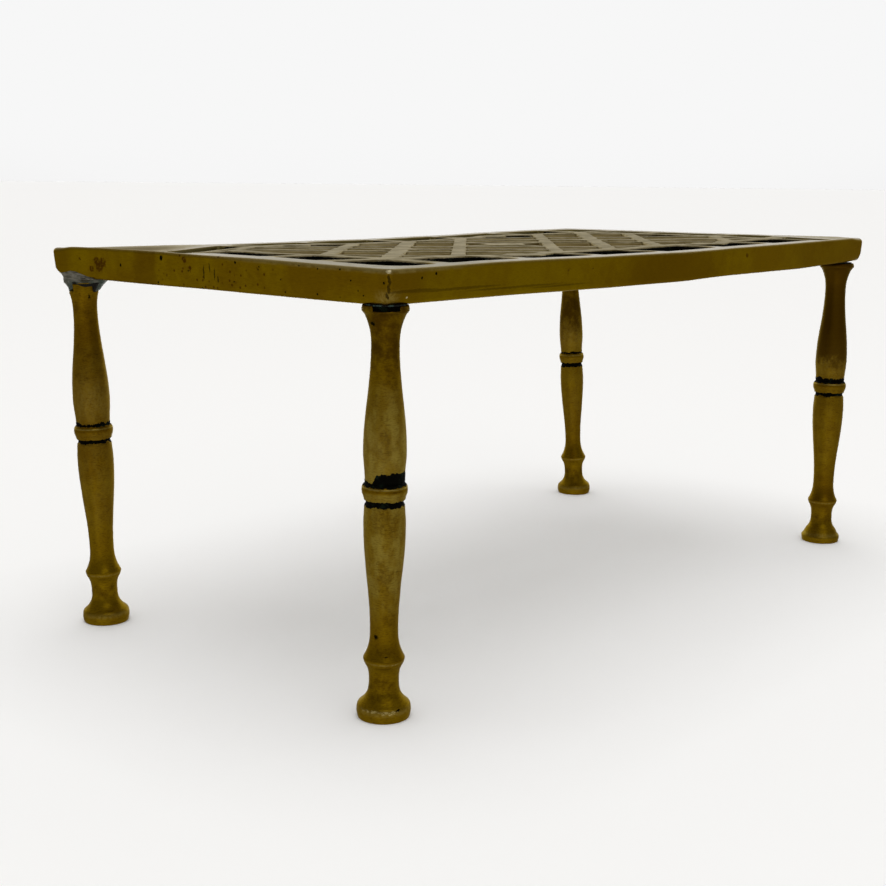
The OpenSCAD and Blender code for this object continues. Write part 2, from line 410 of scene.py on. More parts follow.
def on_surface(surface, points):
    """The nearest places on a surface to some points."""
    return np.array([surface.find_nearest(point)[0] for point in points])


# How often edges are rounded off, and how far off the CAD surface a point is still put back or left as it is
EDGE_ROUNDS = 4
PUT_BACK, LEFT_ROUND = 0.08 * MM, 0.22 * MM


def top_mesh(voxel):
    """The CAD top as an even mesh whose edges are rounded and whose faces lie on the CAD surface."""
    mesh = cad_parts["pierced_top"].data.copy()
    welded = bmesh.new()
    welded.from_mesh(mesh)
    bmesh.ops.remove_doubles(welded, verts=welded.verts, dist=0.001 * MM)
    welded.to_mesh(mesh)
    welded.free()
    corners = [vertex.co for vertex in mesh.vertices]
    surface = BVHTree.FromPolygons(corners, [face.vertices for face in mesh.polygons])
    scratch = add_object("scratch", mesh)
    remesh = scratch.modifiers.new("remesh", "REMESH")
    remesh.mode = "VOXEL"
    remesh.voxel_size = voxel
    even = bpy.data.meshes.new_from_object(scratch.evaluated_get(bpy.context.evaluated_depsgraph_get()))
    bpy.data.objects.remove(scratch)
    bpy.data.meshes.remove(mesh)
    points = np.zeros(3 * len(even.vertices))
    even.vertices.foreach_get("co", points)
    points = relaxed(on_surface(surface, points.reshape(-1, 3)), edge_pairs(even), EDGE_ROUNDS, 0.5)
    gap = on_surface(surface, points) - points
    points += gap * soft_step(np.linalg.norm(gap, axis=1), LEFT_ROUND, PUT_BACK)[:, None]
    return even, points


# How the hand-made casting departs from the true box, from one end of each side to the other, in millimetres.
# Left and right run from the front corner, front and back from the left corner.
BOWED_TOP = {
    "left": ([0, 20, 50, 80, 110, 130, 156], [0.6, 0.8, 1.2, 1.3, 1.5, 1.4, 0.9]),
    "front": ([0, 20, 50, 90, 130, 155, 190, 240, 302], [0.6, 0.7, 0.9, 0.6, 0.3, 0.0, 0.5, 0.8, 1.3]),
    "right": ([0, 40, 100, 156], [1.3, 0.8, 0.4, 0.2]),
    "back": ([0, 12, 60, 110, 170, 220, 260, 302], [0.9, -0.2, -0.6, -0.9, -1.0, -0.4, 0.0, 0.2]),
}
SAGGED_UNDERSIDE = ([0, 60, 110, 160, 190, 245, 280, 302], [0, -0.2, -0.8, -0.9, -0.5, -0.4, 0.4, 0.9])

# Upper limit of a filed flat along the front face's lower edge near the left corner, and how steep it is
FLAT_LIMIT = ([0, 4, 25, 60, 76, 90], [3.4, 3.8, 3.5, 2.0, 1.6, 0])
FLAT_SLOPE = 0.22


def profile(along, rows):
    """A height or depth read off one of those rows of millimetres."""
    return np.interp(along / MM, *rows) * MM


def bowed(points):
    """How far the top face stands above its true plane: a sheet stretched over the four bowed sides."""
    along = points[:, :2] - TOP_LOW[:2]
    across = TOP_HIGH[:2] - points[:, :2]
    ends = {
        "left": soft_step(along[:, 0], 110 * MM, 5 * MM),
        "right": soft_step(across[:, 0], 110 * MM, 5 * MM),
    }
    sides = {
        "front": soft_step(along[:, 1], 76 * MM, 5 * MM),
        "back": soft_step(across[:, 1], 76 * MM, 5 * MM),
    }
    raised = 0
    for end, weight in ends.items():
        raised = raised + weight * profile(along[:, 1], BOWED_TOP[end])
    for side, weight in sides.items():
        raised = raised + weight * profile(along[:, 0], BOWED_TOP[side])
        for end, other in ends.items():
            corner = BOWED_TOP[side][1][0 if end == "left" else -1]
            raised = raised - weight * other * corner * MM
    return raised


def corner_tuck(inset, level, reach, start, bend):
    """How far the faces are drawn in low down at a corner, by each point's distances inside both."""
    near_corner = np.exp(-((inset / (8 * MM)) ** 2).sum(axis=1))
    return reach * near_corner * (np.clip(1 - level / start, 0, 1) ** bend)


# How far each face leans in towards its lower edge, and how the far left corner is drawn in: how far, up to
# what height, and how suddenly
DRAFT = 0.7 * MM
FAR_LEFT_TUCK = (1.7 * MM, 3.2 * MM, 1.5)


def shaped_rim(points):
    """The casting's draft, rounded corners, bowed top and uneven lower edge."""
    centre = (TOP_LOW + TOP_HIGH) / 2
    outward = np.sign(points[:, :2] - centre[:2])
    inset = np.minimum(points[:, :2] - TOP_LOW[:2], TOP_HIGH[:2] - points[:, :2])
    inside = inset.min(axis=1)
    level = points[:, 2] - UNDERSIDE
    depth = TOP_HIGH[2] - points[:, 2]
    skin = soft_step(inset, 4 * MM, 1 * MM)

    draft = DRAFT * (depth / (TOP_HIGH[2] - UNDERSIDE))[:, None] * skin
    left, back = outward[:, 0] < 0, outward[:, 1] > 0
    draft[~left, 0] *= 0.25
    far_left = left & back
    near_left = left & ~back
    near_right = ~left & ~back
    reach = np.where(far_left, FAR_LEFT_TUCK[0], np.where(near_left, 1.0 * MM, 0.7 * MM))
    start = np.where(far_left, FAR_LEFT_TUCK[1], np.where(near_left, 3.6 * MM, 4.2 * MM))
    bend = np.where(far_left, FAR_LEFT_TUCK[2], 1.6)
    tuck = corner_tuck(inset, level, reach, start, bend)
    moved = points.copy()
    moved[:, :2] -= outward * (draft + tuck[:, None])

    # Lower edge of the front, and the flat filed on it
    front = ~back & (inset[:, 1] < 9 * MM)
    along = points[:, 0] - TOP_LOW[0]
    moved[:, 2] += np.where(front, profile(along, SAGGED_UNDERSIDE) * soft_step(level, 5 * MM, 0), 0)
    flat = np.clip(profile(along, FLAT_LIMIT) - level, 0, None) * FLAT_SLOPE
    flat = flat * soft_step(inset[:, 1], 2 * MM, 0.5 * MM)
    moved[:, 1] += np.where(front, flat, 0)

    # The top: bowed along the rim, rounded off at two corners and sunk behind its edge there
    high = soft_step(level, 0.5 * MM, 6 * MM)
    moved[:, 2] += bowed(points) * high
    from_corner = np.linalg.norm(inset, axis=1)
    behind_edge = soft_step(inside, 0.6 * MM, 4 * MM)
    far_sunk = 2.3 * MM * soft_step(from_corner, 78 * MM, 34 * MM) * behind_edge
    near_sunk = 0.8 * MM * soft_step(from_corner, 46 * MM, 12 * MM) * behind_edge
    rounding = 0.8 * MM * soft_step(inside, 1.8 * MM, 0) * soft_step(from_corner, 12 * MM, 3 * MM)
    rounding += 0.45 * MM * soft_step(from_corner, 2.6 * MM, 0.6 * MM)
    moved[:, 2] -= high * (far_left * far_sunk + near_right * near_sunk + (far_left | near_right) * rounding)
    return moved


VOXEL, QUICK_VOXEL = 0.6 * MM, 1.2 * MM


def make_top(material):
    """The casting, with the fields that say where it is rubbed, worn, dirty or bare."""
    mesh, points = top_mesh(VOXEL)
    move_points(mesh, points)
    normals = np.zeros(3 * len(mesh.vertices))
    mesh.vertex_normals.foreach_get("vector", normals)
    normals = normals.reshape(-1, 3)

    # How far each point lies inside the rim's outer faces, and under the top face
    inset = np.minimum(points[:, :2] - TOP_LOW[:2], TOP_HIGH[:2] - points[:, :2])
    inside = inset.min(axis=1)
    level = points[:, 2] - UNDERSIDE
    depth = TOP_HIGH[2] - points[:, 2]
    up = normals[:, 2]

    # Slow unevenness of the casting, faint ripple on its faces
    uneven = 0.14 * MM * lumps(points, 26 * MM, 1) + 0.02 * MM * lumps(points, 7 * MM, 2)
    uneven += 0.006 * MM * lumps(points, 2.2 * MM, 3)
    points = shaped_rim(points + normals * uneven[:, None])

    # Past the rim's outer skin, past its flat strip, and on a steep face in there
    opening = soft_step(inside, 2.5 * MM, 4 * MM)
    strapwork = soft_step(inside, 9 * MM, 13 * MM)
    wall = opening * soft_step(up, 0.82, 0.45) * soft_step(depth, 0.1 * MM, 0.7 * MM)
    # Walls round the border's openings are black, except the far rim's own
    far_rim = np.maximum(soft_step(TOP_HIGH[1] - points[:, 1], 12 * MM, 9 * MM),
                         soft_step(TOP_HIGH[0] - points[:, 0], 15 * MM, 12 * MM))
    border = soft_step(inside, 34 * MM, 29 * MM) * (1 - far_rim)
    edge = soft_band(up, 0.6, 0.45)
    rim_edge = edge * soft_step(depth, 1.5 * MM, 0.6 * MM) * (1 - opening)
    # Distances from the right, the front and the left face
    right = TOP_HIGH[0] - points[:, 0]
    front = points[:, 1] - TOP_LOW[1]
    left = points[:, 0] - TOP_LOW[0]
    tin = soft_step(right, 6 * MM, 4.5 * MM) * soft_step(front, 4 * MM, 2 * MM)
    tin = tin * soft_step(level, 1.3 * MM, 0.7 * MM)
    near = np.hypot(left, front)
    # The outer edge is rubbed pale, and a band under it too towards the near corner
    handled = np.maximum(soft_step(front, 78 * MM, 40 * MM), 0) * soft_step(left, 45 * MM, 12 * MM)
    band = handled * soft_step(depth, 1.6 * MM, 0.7 * MM) * soft_step(inside, 3 * MM, 2 * MM)
    rounded_edge = soft_band(up, 0.55, 0.35) * soft_step(depth, 1.2 * MM, 0.5 * MM) * (1 - opening)
    rounded_edge = rounded_edge * (0.12 + 0.5 * handled)
    crumb = soft_step(near, 7 * MM, 2.5 * MM) * soft_step(level, 4.5 * MM, 2 * MM)
    fields = {
        "grime": wall * border,
        "wear": np.maximum(rim_edge, crumb),
        "rubbed": soft_step(up, 0.75, 0.95) * soft_step(depth, 2 * MM, 1 * MM) * (1 - strapwork),
        "inner": np.maximum(strapwork, wall * (1 - border)),
        "wall": wall * (1 - border),
        "far_wall": opening * soft_step(up, 0.9, 0.6) * far_rim,
        "edge": rounded_edge,
        "handled": band,
        "near": soft_step(near, 95 * MM, 25 * MM),
        "tin": tin,
    }
    move_points(mesh, points)
    finish_mesh(mesh, fields)
    return add_piece("top_casting", mesh, material, ["pierced_top"])


# ---- solder ----

# How high the solder climbs the rim, by degrees from the outward diagonal
SOLDER_CLIMB = ([0, 30, 60, 75, 90, 100, 112, 180], [1.3, 1.7, 2.5, 2.3, 1.5, 0.8, 0, 0])
# The rim's outer faces from the leg's axis, how far its corner is cut back, how often the sheet is smoothed
# there, and the depths at which the lump closes above and below
FACE_FROM_AXIS = 7.6 * MM
CORNER_CUT = 1.3 * MM
CORNER_ROUNDS = 16
SOLDER_ENDS = (-1.5 * MM, 4.4 * MM)


def make_repair(material):
    """The later solder round the back left collar, drawn up into the rounded corner of the rim. Turn 0 is the
    outward diagonal, a quarter turn faces the left side."""
    leg = LEGS["back_left"]
    around, rows = 180, 60
    share = np.repeat(np.linspace(0, 1, rows), around)
    turn = np.tile(np.arange(around) / around * 2 * math.pi, rows)
    facing = turned_away(turn, 0)
    climb = np.interp(np.degrees(facing), SOLDER_CLIMB[0], SOLDER_CLIMB[1]) * MM

    # Short of the collar's lower part where the brass shows
    short = within(turn, 98, 40, 30)
    foot = (4.6 + 0.5 * np.cos(3 * turn) - 2.1 * short) * MM
    depth = -climb + share * (climb + foot)
    to_side = FACE_FROM_AXIS / np.cos(np.clip(abs(facing - math.pi / 4), 0, math.radians(62)))
    base = (8.6 - 1.9 * np.cos(turn)) * MM
    spread = np.where(facing < math.radians(115), np.maximum(base, to_side), base)
    waist = (5.3 - 0.45 * np.cos(turn) + 1.05 * short) * MM
    run = np.clip(depth / foot, 0, 1)
    radius = waist + (base - waist) * (1 - run) ** 1.35 + (spread - base) * (1 - run) ** 4
    radius += 2 * MM * soft_step(depth, 0, -0.6 * MM)
    ring = leg.place(radius, turn, depth)
    radius += (0.22 * lumps(ring, 3.4 * MM, 71) + 0.10 * lumps(ring * [1, 1, 2.5], 1.2 * MM, 72)) * MM
    depth += 0.5 * MM * share * lumps(ring * [1, 1, 0], 3 * MM, 73)
    points = leg.place(radius, turn, depth)

    # Laid over the rim's own faces where it climbs them, thinning to nothing at its upper edge
    level = points[:, 2] - UNDERSIDE
    up_the_rim = np.clip(level / np.maximum(climb, 0.3 * MM), 0, 1)
    thick = (0.5 * np.sqrt(1 - up_the_rim) - 0.14 + 0.10 * lumps(points, 1.6 * MM, 74)) * MM
    inset = np.stack([points[:, 0] - TOP_LOW[0], TOP_HIGH[1] - points[:, 1]], axis=1)
    drawn_in = DRAFT * (1 - np.clip(level / (TOP_HIGH[2] - UNDERSIDE), 0, 1))
    corner = CORNER_CUT - thick
    for axis in (0, 1):
        on_face = np.clip(inset, 0, None)
        on_face[:, axis] = 0
        face = drawn_in + corner_tuck(on_face, np.clip(level, 0, None), *FAR_LEFT_TUCK)
        inset[:, axis] = np.maximum(inset[:, axis], face - thick)
        corner = corner + face
    inset += np.clip(corner - inset.sum(axis=1), 0, None)[:, None] / 2
    points[:, 0] = TOP_LOW[0] + inset[:, 0]
    points[:, 1] = TOP_HIGH[1] - inset[:, 1]

    # It runs round the rim's corner without a crease
    grid = points.reshape(rows, around, 3)
    at_corner = within(turn, 0, 34, 18).reshape(rows, around, 1)
    for _ in range(CORNER_ROUNDS):
        grid = grid + 0.5 * at_corner * ((np.roll(grid, 1, axis=1) + np.roll(grid, -1, axis=1)) / 2 - grid)
    points = grid.reshape(-1, 3)
    poles = leg.place(np.zeros(2), np.zeros(2), np.array(SOLDER_ENDS))
    points = np.vstack([points, poles])

    def patch(middle, half_turn, low, high):
        """A soft-edged patch about a turn in degrees, between two depths in millimetres."""
        across = within(turn, middle, half_turn, half_turn - 12)
        started = soft_step(depth, (low - 0.3) * MM, (low + 0.1) * MM)
        return across * started * soft_step(depth, (high + 0.3) * MM, (high - 0.1) * MM)

    black = [patch(98, 42, 2.2, 3.2), patch(70, 14, 1.6, 3.2), patch(134, 14, 2.0, 5.2)]
    fields = {
        "bare": patch(100, 22, 1.9, 2.2),
        "black": np.maximum.reduce(black),
        # Greener and darker below the underside of the top
        "green": np.maximum(within(turn, 185, 75, 35), 0.8 * soft_step(depth, -0.2 * MM, 1.8 * MM)),
    }
    fields = {label: np.append(values, (0, 0)) for label, values in fields.items()}
    faces = skin_faces(rows, around)
    return make_piece("solder_fillet", points, faces, fields, material, ["solder_repair_back_left"])


# ---- materials ----

class Nodes:
    """The nodes of one material or of the world, each linked as it is made."""

    def __init__(self, tree):
        self.tree = tree

    def node(self, kind, inputs=None, **settings):
        made = self.tree.nodes.new(kind)
        for label, value in settings.items():
            setattr(made, label, value)
        for label, value in (inputs or {}).items():
            self.put(made.inputs[label], value)
        return {output.name: output for output in made.outputs if output.enabled}

    def put(self, socket, value):
        if isinstance(value, bpy.types.NodeSocket):
            self.tree.links.new(value, socket)
        else:
            socket.default_value = value

    def math(self, operation, *values):
        return self.node("ShaderNodeMath", dict(enumerate(values)), operation=operation)["Value"]

    def times(self, a, b):
        return self.math("MULTIPLY", a, b)

    def plus(self, a, b):
        return self.math("ADD", a, b)

    def minus(self, a, b):
        return self.math("SUBTRACT", a, b)

    def most(self, a, b):
        return self.math("MAXIMUM", a, b)

    def vector(self, operation, a, b):
        return self.node("ShaderNodeVectorMath", {0: a, 1: b}, operation=operation)["Vector"]

    def ramp(self, value, low, high, start=0.0, end=1.0):
        """Start below low, end above high, and smooth between them."""
        inputs = {"Value": value, "From Min": low, "From Max": high, "To Min": start, "To Max": end}
        return self.node("ShaderNodeMapRange", inputs, interpolation_type="SMOOTHSTEP")["Result"]

    def blend(self, share, a, b):
        """A number between two others."""
        made = self.tree.nodes.new("ShaderNodeMix")
        for index, value in {0: share, 2: a, 3: b}.items():
            self.put(made.inputs[index], value)
        return made.outputs[0]

    def mix(self, share, a, b):
        """A colour between two others, which are sockets or (red, green, blue)."""
        made = self.tree.nodes.new("ShaderNodeMix")
        made.data_type = "RGBA"
        for index, value in {0: share, 6: a, 7: b}.items():
            self.put(made.inputs[index], (*value, 1.0) if isinstance(value, tuple) else value)
        return made.outputs[2]


class Shader(Nodes):
    """One material's nodes over its object's own coordinates, with the colour and relief laid down so far."""

    def __init__(self, name):
        self.material = bpy.data.materials.new(name)
        self.material.use_nodes = True
        super().__init__(self.material.node_tree)
        self.surface = self.tree.nodes["Principled BSDF"]
        self.place = self.node("ShaderNodeTexCoord")["Object"]
        self.colour = self.relief = None

    def noise(self, size, detail=3.0, stretch=None, rough=0.55):
        """Noise from 0 to 1 with lumps about size across, drawn out where a stretch is above 1."""
        place = self.place
        if stretch:
            scale = tuple(1 / s for s in stretch)
            place = self.node("ShaderNodeMapping", {"Vector": place, "Scale": scale})["Vector"]
        inputs = {"Vector": place, "Scale": 1 / size, "Detail": detail, "Roughness": rough}
        return self.node("ShaderNodeTexNoise", inputs)["Fac"]

    def field(self, label):
        return self.node("ShaderNodeAttribute", attribute_name=label)["Fac"]

    def spots(self, spacing, size, share, seed=0.0):
        """1 inside scattered round spots of about size, at some cells of that spacing."""
        inputs = {"Vector": self.place, "Location": (seed, seed, seed)}
        moved = self.node("ShaderNodeMapping", inputs)["Vector"]
        cells = self.node("ShaderNodeTexVoronoi", {"Vector": moved, "Scale": 1 / spacing})
        chosen = self.node("ShaderNodeSeparateColor", {"Color": cells["Color"]})
        near = self.ramp(cells["Distance"], size / spacing, 0.4 * size / spacing)
        picked = self.math("LESS_THAN", chosen["Red"], share)
        return self.times(near, picked)

    def jittered(self, size, reach):
        """Places shaken by noise, which gives marks a ragged outline."""
        inputs = {"Vector": self.place, "Scale": 1 / size, "Detail": 2.0}
        shake = self.node("ShaderNodeTexNoise", inputs)["Color"]
        shake = self.vector("SUBTRACT", shake, (0.5, 0.5, 0.5))
        shake = self.node("ShaderNodeVectorMath", {0: shake, "Scale": 2 * reach}, operation="SCALE")["Vector"]
        return self.vector("ADD", self.place, shake)

    def marks(self, places, around):
        """1 inside each of the listed marks: a point, and a size across for each axis."""
        total = 0.0
        for point, size in places:
            away = self.vector("DIVIDE", self.vector("SUBTRACT", around, point), size)
            length = self.node("ShaderNodeVectorMath", {0: away}, operation="LENGTH")["Value"]
            total = self.most(self.ramp(length, 0.65, 0.35), total)
        return total

    def paint(self, share, colour):
        """Lays a colour over what is there."""
        self.colour = self.mix(share, self.colour, colour)

    def bump(self, height, distance):
        """Adds to the relief."""
        inputs = {"Height": height, "Distance": distance, "Strength": 1.0}
        if self.relief is not None:
            inputs["Normal"] = self.relief
        self.relief = self.node("ShaderNodeBump", inputs)["Normal"]

    def finish(self, roughness, metallic, shine):
        inputs = {"Base Color": self.colour, "Roughness": roughness, "Metallic": metallic,
                  "Normal": self.relief, "Specular IOR Level": shine}
        for label, value in inputs.items():
            self.put(self.surface.inputs[label], value)
        return self.material


OLIVE_GOLD = (0.300, 0.185, 0.004)
BROWN_GOLD = (0.225, 0.122, 0.003)
PALE_GOLD = (0.42, 0.31, 0.07)
CAST_OLIVE = (0.310, 0.205, 0.002)
CAST_BROWN = (0.240, 0.140, 0.002)
DULL_BROWN = (0.085, 0.040, 0.002)
HAZY_GOLD = (0.38, 0.29, 0.05)
CHIP_AND_GLINT_GOLD = (0.80, 0.66, 0.26)
# Colour of the painted highlights at the near corner
GLINT = (0.95, 0.85, 0.55)
RUBBED = (0.40, 0.34, 0.20)
EDGE_PALE = (0.52, 0.42, 0.17)
HANDLED = (0.44, 0.34, 0.10)
STRAP_PALE = (0.40, 0.35, 0.23)
STRAP_DARK = (0.20, 0.165, 0.085)
STRAP_WALL = (0.48, 0.39, 0.19)
FAR_WALL = (0.27, 0.23, 0.09)
BLACK_RESIDUE = (0.0016, 0.0015, 0.0010)
GREEN_RESIDUE = (0.006, 0.011, 0.006)
RED_STAIN = (0.085, 0.028, 0.002)
TIN = (0.30, 0.30, 0.27)
BROWN_PATCH = (0.17, 0.09, 0.002)
CRACK_BROWN = (0.03, 0.018, 0.003)
CREASE_SHADE = (0.05, 0.03, 0.003)
GREEN_CRUST = (0.10, 0.13, 0.09)
SOLDER_DARK = (0.10, 0.10, 0.08)
SOLDER_PALE = (0.36, 0.35, 0.31)
SOLDER_GREEN = (0.05, 0.085, 0.07)
BED_GREEN = (0.03, 0.055, 0.045)

# What the metal turns towards at grazing light: faces stay golden, the rubbed top turns white, less so by
# the near corner
GRAZED_FACE = (0.90, 0.80, 0.50)
GRAZED_RUBBED = (1.0, 1.0, 1.0)
GRAZED_NEAR = (0.70, 0.70, 0.67)
GRAZED_STRAP = (0.74, 0.68, 0.52)
GRAZED_TURNED = (0.92, 0.85, 0.55)
GRAZED_FILM = (0.96, 0.90, 0.65)


def on_left(along, level):
    """A point on the rim's left face, in millimetres from the near corner and above the underside."""
    return (TOP_LOW[0] + 0.3 * MM, TOP_LOW[1] + along * MM, UNDERSIDE + level * MM)


def on_front(along, level):
    """A point on the rim's front face, in millimetres from the near corner and above the underside."""
    return (TOP_LOW[0] + along * MM, TOP_LOW[1] + 0.3 * MM, UNDERSIDE + level * MM)


def on_top(from_left, from_front, level):
    """A point near the top face, in millimetres from its left and front sides and above it."""
    return (TOP_LOW[0] + from_left * MM, TOP_LOW[1] + from_front * MM, TOP_HIGH[2] + level * MM)


def mark(point, *size):
    """A mark at a point, with its size across in millimetres along each axis."""
    return point, tuple(side * MM for side in size)


def dots(place, *marks):
    """Round marks on one of those faces, as (along, level, size), that reach through its uneven skin."""
    made = []
    for along, level, size in marks:
        made.append(mark(place(along, level), *((8, size, size) if place is on_left else (size, 8, size))))
    return made


PITS = dots(
    on_left, (97.3, 8.9, 1.5), (99.5, 1, 0.8), (78.5, 0.4, 0.7), (118.4, 5.6, 0.9), (62.5, 9, 0.9),
    (52, 8.2, 0.5), (63.5, 3.2, 0.5), (27.5, 9, 0.5), (18.5, 9.2, 0.6), (14.5, 6.3, 0.5), (10, 2.3, 0.5),
    (28, 1.6, 0.5), (2, 6.2, 0.7), (43, 5, 0.4), (35, 9.4, 0.5),
) + dots(on_front, (20, 8.1, 0.95), (14, 7.1, 0.75), (98, 6.2, 0.4))
STAINS = dots(
    on_left, (130, 4.6, 4.0), (127.8, 6.0, 3.4), (131.4, 6.2, 2.6), (134.2, 3.6, 2.0), (140.5, 6.6, 1.0),
    (86, 8.6, 2.0), (84, 6.2, 1.6),
) + dots(on_front, (200, 6.5, 1.8))
CRACKS = [
    mark(on_left(77.3, 5.4), 8, 0.6, 4.2), mark(on_left(74.5, 7), 8, 0.5, 2.6),
    mark(on_left(72.3, 5), 8, 0.5, 3.4), mark(on_left(70.8, 3.6), 8, 0.5, 2.0),
    mark(on_left(0.5, 7), 3, 0.6, 3.4), mark(on_left(0.8, 4.6), 3, 0.6, 3.0),
    mark(on_left(1.5, 2.2), 3, 0.7, 2.8),
]
# Painted shade: a soft dark line where the front face bends over the top of the filed flat
CREASE = [
    mark(on_front(10, 3.7), 22, 5, 0.9), mark(on_front(30, 3.3), 40, 5, 0.8),
    mark(on_front(58, 2.3), 46, 5, 0.7), mark(on_front(80, 1.6), 30, 5, 0.6),
]
# Painted highlights at the near corner: a small glint low on the front face and one at the top of the corner
GLINTS = dots(on_front, (8.5, 1.9, 0.6)) + [mark(on_top(0.5, 0.5, 0.1), 1.6, 1.6, 1.0)]
BROWNED = [
    mark(on_left(106, 5), 8, 11, 24), mark(on_left(158, 5), 8, 26, 30),
    mark(on_front(150, 4), 60, 8, 24), mark(on_front(292, 4), 110, 8, 30),
]
FLECKED = [mark(on_left(72, 6.5), 8, 56, 16)]
CORRODED = [mark(on_top(30, 32, -2), 12, 12, 3.5), mark(on_top(24, 96, -2), 8, 8, 4)]


def on_leg(corner, turn, depth, wide, tall, radius=5):
    """A mark on a leg's skin, at degrees from the outward diagonal, with millimetre sizes."""
    radius, turn, depth = (np.array([value]) for value in (radius * MM, math.radians(turn), depth * MM))
    return mark(tuple(LEGS[corner].place(radius, turn, depth)[0]), wide, wide, tall)


def on_near_leg(*marks):
    return [on_leg("front_left", *values) for values in marks]


LEG_PITS = on_near_leg(
    (-50, 5.4, 1.7, 1.0), (-36, 13.2, 1.3, 0.8), (10, 10.2, 1.0, 0.7), (-38, 97.0, 2.2, 1.6),
    (5, 102.6, 1.6, 0.6, 6), (30, 118.6, 1.7, 0.35, 7.8),
) + [on_leg("back_left", 122, 7.4, 1.2, 3.0)]
LEG_STAINS = on_near_leg(
    (5, 12, 5, 7), (18, 21, 4, 5), (-16, 108.6, 5, 1.4), (3, 101.5, 5, 3.0), (-4, 62, 7, 8), (0, 78, 3.5, 12),
    (20, 92, 5, 5), (-10, 115.5, 8, 4), (2, 40, 5, 9), (46, 77.3, 2.6, 1.2), (-30, 101.4, 1.8, 1.2),
)
# Bright marks on the near leg: partly chips in the foot's edge, partly painted highlights along the foot's
# edge, the knop's lower edge and the belly
LEG_GLINTS = on_near_leg(
    (2, 119.0, 3.4, 0.8, 7.8), (12, 119.3, 2.6, 0.6, 7.9), (22, 118.8, 2.6, 0.5, 7.8),
    (-30, 118.8, 7.0, 0.7, 7.7), (30, 105.0, 2.6, 0.5), (40, 34, 1.4, 0.6),
)


